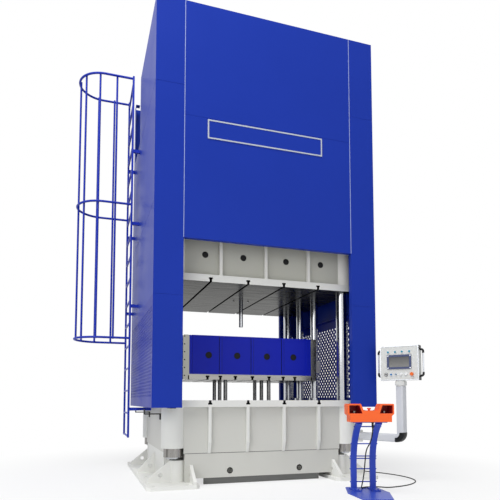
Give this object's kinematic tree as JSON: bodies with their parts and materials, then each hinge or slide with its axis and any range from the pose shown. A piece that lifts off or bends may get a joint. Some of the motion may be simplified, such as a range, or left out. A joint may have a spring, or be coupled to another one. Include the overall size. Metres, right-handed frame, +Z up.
{
  "type": "hydraulic press",
  "caption": "Four-column hydraulic press with blue sheet cladding, a slotted bed, slide and platen, a side ladder with cage, a swing-arm panel and a two-hand console.",
  "frame": {"origin": "on the floor under the centre of the four tie columns", "axes": "+Z up, +Y from the operator's side to the back, +X to the operator's right"},
  "size_m": [3.8748, 3.5343, 5.347],
  "materials": {
    "frame_paint": "satin",
    "machined_steel": "machined",
    "slide_paint": "satin",
    "chrome_rods": "ground and chromed",
    "bronze": "machined",
    "cladding_blue": "semi-gloss",
    "mesh_blue": "semi-gloss",
    "platen_blue": "satin",
    "ladder_paint": "semi-gloss",
    "bracket_steel": "satin",
    "board_blue": "semi-gloss",
    "deck_steel": "matt",
    "hydraulic_grey": "satin",
    "motor_paint": "satin",
    "pipe_steel": "drawn",
    "arm_grey": "satin",
    "box_white": "satin",
    "screen_dark": "gloss",
    "handle_alloy": "anodised",
    "teal_cap": "gloss",
    "blue_cap": "gloss",
    "grey_cap": "gloss",
    "white_cap": "gloss",
    "key_metal": "satin",
    "stop_orange": "gloss",
    "stop_red": "gloss",
    "console_orange": "satin",
    "stand_blue": "semi-gloss",
    "palm_steel": "satin",
    "cable_black": "matt",
    "gland_black": "matt"
  },
  "bodies": {
    "frame": {"bed_frame": "frame_paint", "bed_table": "machined_steel", "foot_right": "frame_paint", "foot_left": "frame_paint", "tie_columns": "chrome_rods", "column_nuts": "machined_steel", "crown_frame": "frame_paint", "main_cylinders": "frame_paint", "guide_rods": "chrome_rods", "cushion_cylinder": "frame_paint", "cover_front_right": "cladding_blue", "cover_front_left": "cladding_blue", "covers_rear": "cladding_blue", "panel_front": "cladding_blue", "panel_rear": "cladding_blue", "side_panel_right": "cladding_blue", "side_panel_left": "cladding_blue", "mesh_panels": "mesh_blue", "cover_brackets": "bracket_steel", "name_board": "board_blue", "service_deck": "deck_steel", "oil_tank": "hydraulic_grey", "pump_motor": "motor_paint", "valve_block": "machined_steel", "pressure_pipes": "pipe_steel", "ladder": "ladder_paint", "safety_cage": "ladder_paint", "arm_bracket": "frame_paint", "console_stand": "stand_blue", "console_yoke": "console_orange", "cable_glands": "gland_black", "console_cable": "cable_black"},
    "slide": {"slide_frame": "slide_paint", "slide_plate": "machined_steel", "slide_bushes": "bronze", "slide_rams": "chrome_rods"},
    "ejector": {"ejector_rod": "chrome_rods"},
    "platen": {"platen_plate": "machined_steel", "platen_beams": "platen_blue", "platen_ends": "machined_steel", "platen_guides": "frame_paint", "lift_rods": "chrome_rods", "cushion_crosshead": "machined_steel"},
    "arm": {"swing_arm": "arm_grey"},
    "panel": {"panel_box": "box_white", "panel_screen": "screen_dark", "panel_handles": "handle_alloy"},
    "button_top_1": {"button_top_1": "teal_cap"},
    "button_top_2": {"button_top_2": "teal_cap"},
    "button_top_3": {"button_top_3": "teal_cap"},
    "button_top_4": {"button_top_4": "teal_cap"},
    "button_blue": {"button_blue": "blue_cap"},
    "button_grey": {"button_grey": "grey_cap"},
    "button_white_left": {"button_white_left": "white_cap"},
    "button_white_right": {"button_white_right": "white_cap"},
    "panel_stop": {"panel_stop": "stop_orange"},
    "key_switch": {"key_switch": "key_metal"},
    "palm_left": {"palm_left": "palm_steel"},
    "palm_right": {"palm_right": "palm_steel"},
    "console_stop": {"console_stop": "stop_red"}
  },
  "joints": [
    {"name": "slide_stroke", "type": "slide", "parent": "frame", "child": "slide", "axis": [0, 0, 1], "range_m": [-0.45, 0]},
    {"name": "ejector_stroke", "type": "slide", "parent": "slide", "child": "ejector", "axis": [0, 0, 1], "range_m": [0, 0.3]},
    {"name": "platen_stroke", "type": "slide", "parent": "frame", "child": "platen", "axis": [0, 0, 1], "range_m": [-0.15, 0]},
    {"name": "arm_swivel", "type": "hinge", "parent": "frame", "child": "arm", "pos_m": [1.245, -0.905, 0.497], "axis": [0, 0, 1], "range_deg": [-15, 70]},
    {"name": "panel_swivel", "type": "hinge", "parent": "arm", "child": "panel", "pos_m": [1.475, -1.465, 1.09], "axis": [0, 0, 1], "range_deg": [-80, 80]},
    {"name": "button_top_1_travel", "type": "slide", "parent": "panel", "child": "button_top_1", "axis": [0.7848, 0.6198, 0], "range_m": [0, 0.004], "stiffness_N_per_m": 800, "springref_m": -0.003},
    {"name": "button_top_2_travel", "type": "slide", "parent": "panel", "child": "button_top_2", "axis": [0.7848, 0.6198, 0], "range_m": [0, 0.004], "stiffness_N_per_m": 800, "springref_m": -0.003},
    {"name": "button_top_3_travel", "type": "slide", "parent": "panel", "child": "button_top_3", "axis": [0.7848, 0.6198, 0], "range_m": [0, 0.004], "stiffness_N_per_m": 800, "springref_m": -0.003},
    {"name": "button_top_4_travel", "type": "slide", "parent": "panel", "child": "button_top_4", "axis": [0.7848, 0.6198, 0], "range_m": [0, 0.004], "stiffness_N_per_m": 800, "springref_m": -0.003},
    {"name": "button_blue_travel", "type": "slide", "parent": "panel", "child": "button_blue", "axis": [0.7848, 0.6198, 0], "range_m": [0, 0.004], "stiffness_N_per_m": 800, "springref_m": -0.003},
    {"name": "button_grey_travel", "type": "slide", "parent": "panel", "child": "button_grey", "axis": [0.7848, 0.6198, 0], "range_m": [0, 0.004], "stiffness_N_per_m": 800, "springref_m": -0.003},
    {"name": "button_white_left_travel", "type": "slide", "parent": "panel", "child": "button_white_left", "axis": [0.7848, 0.6198, 0], "range_m": [0, 0.004], "stiffness_N_per_m": 800, "springref_m": -0.003},
    {"name": "button_white_right_travel", "type": "slide", "parent": "panel", "child": "button_white_right", "axis": [0.7848, 0.6198, 0], "range_m": [0, 0.004], "stiffness_N_per_m": 800, "springref_m": -0.003},
    {"name": "panel_stop_travel", "type": "slide", "parent": "panel", "child": "panel_stop", "axis": [0.7848, 0.6198, 0], "range_m": [0, 0.005], "stiffness_N_per_m": 800, "springref_m": -0.003},
    {"name": "key_turn", "type": "hinge", "parent": "panel", "child": "key_switch", "pos_m": [1.33825, -1.38059, 1.2255], "axis": [0.7848, 0.6198, 0], "range_deg": [0, 90]},
    {"name": "palm_left_travel", "type": "slide", "parent": "frame", "child": "palm_left", "axis": [0, 0, -1], "range_m": [0, 0.004], "stiffness_N_per_m": 1200, "springref_m": -0.004},
    {"name": "palm_right_travel", "type": "slide", "parent": "frame", "child": "palm_right", "axis": [0, 0, -1], "range_m": [0, 0.004], "stiffness_N_per_m": 1200, "springref_m": -0.004},
    {"name": "console_stop_travel", "type": "slide", "parent": "frame", "child": "console_stop", "axis": [0, 0, -1], "range_m": [0, 0.004], "stiffness_N_per_m": 1200, "springref_m": -0.004}
  ]
}
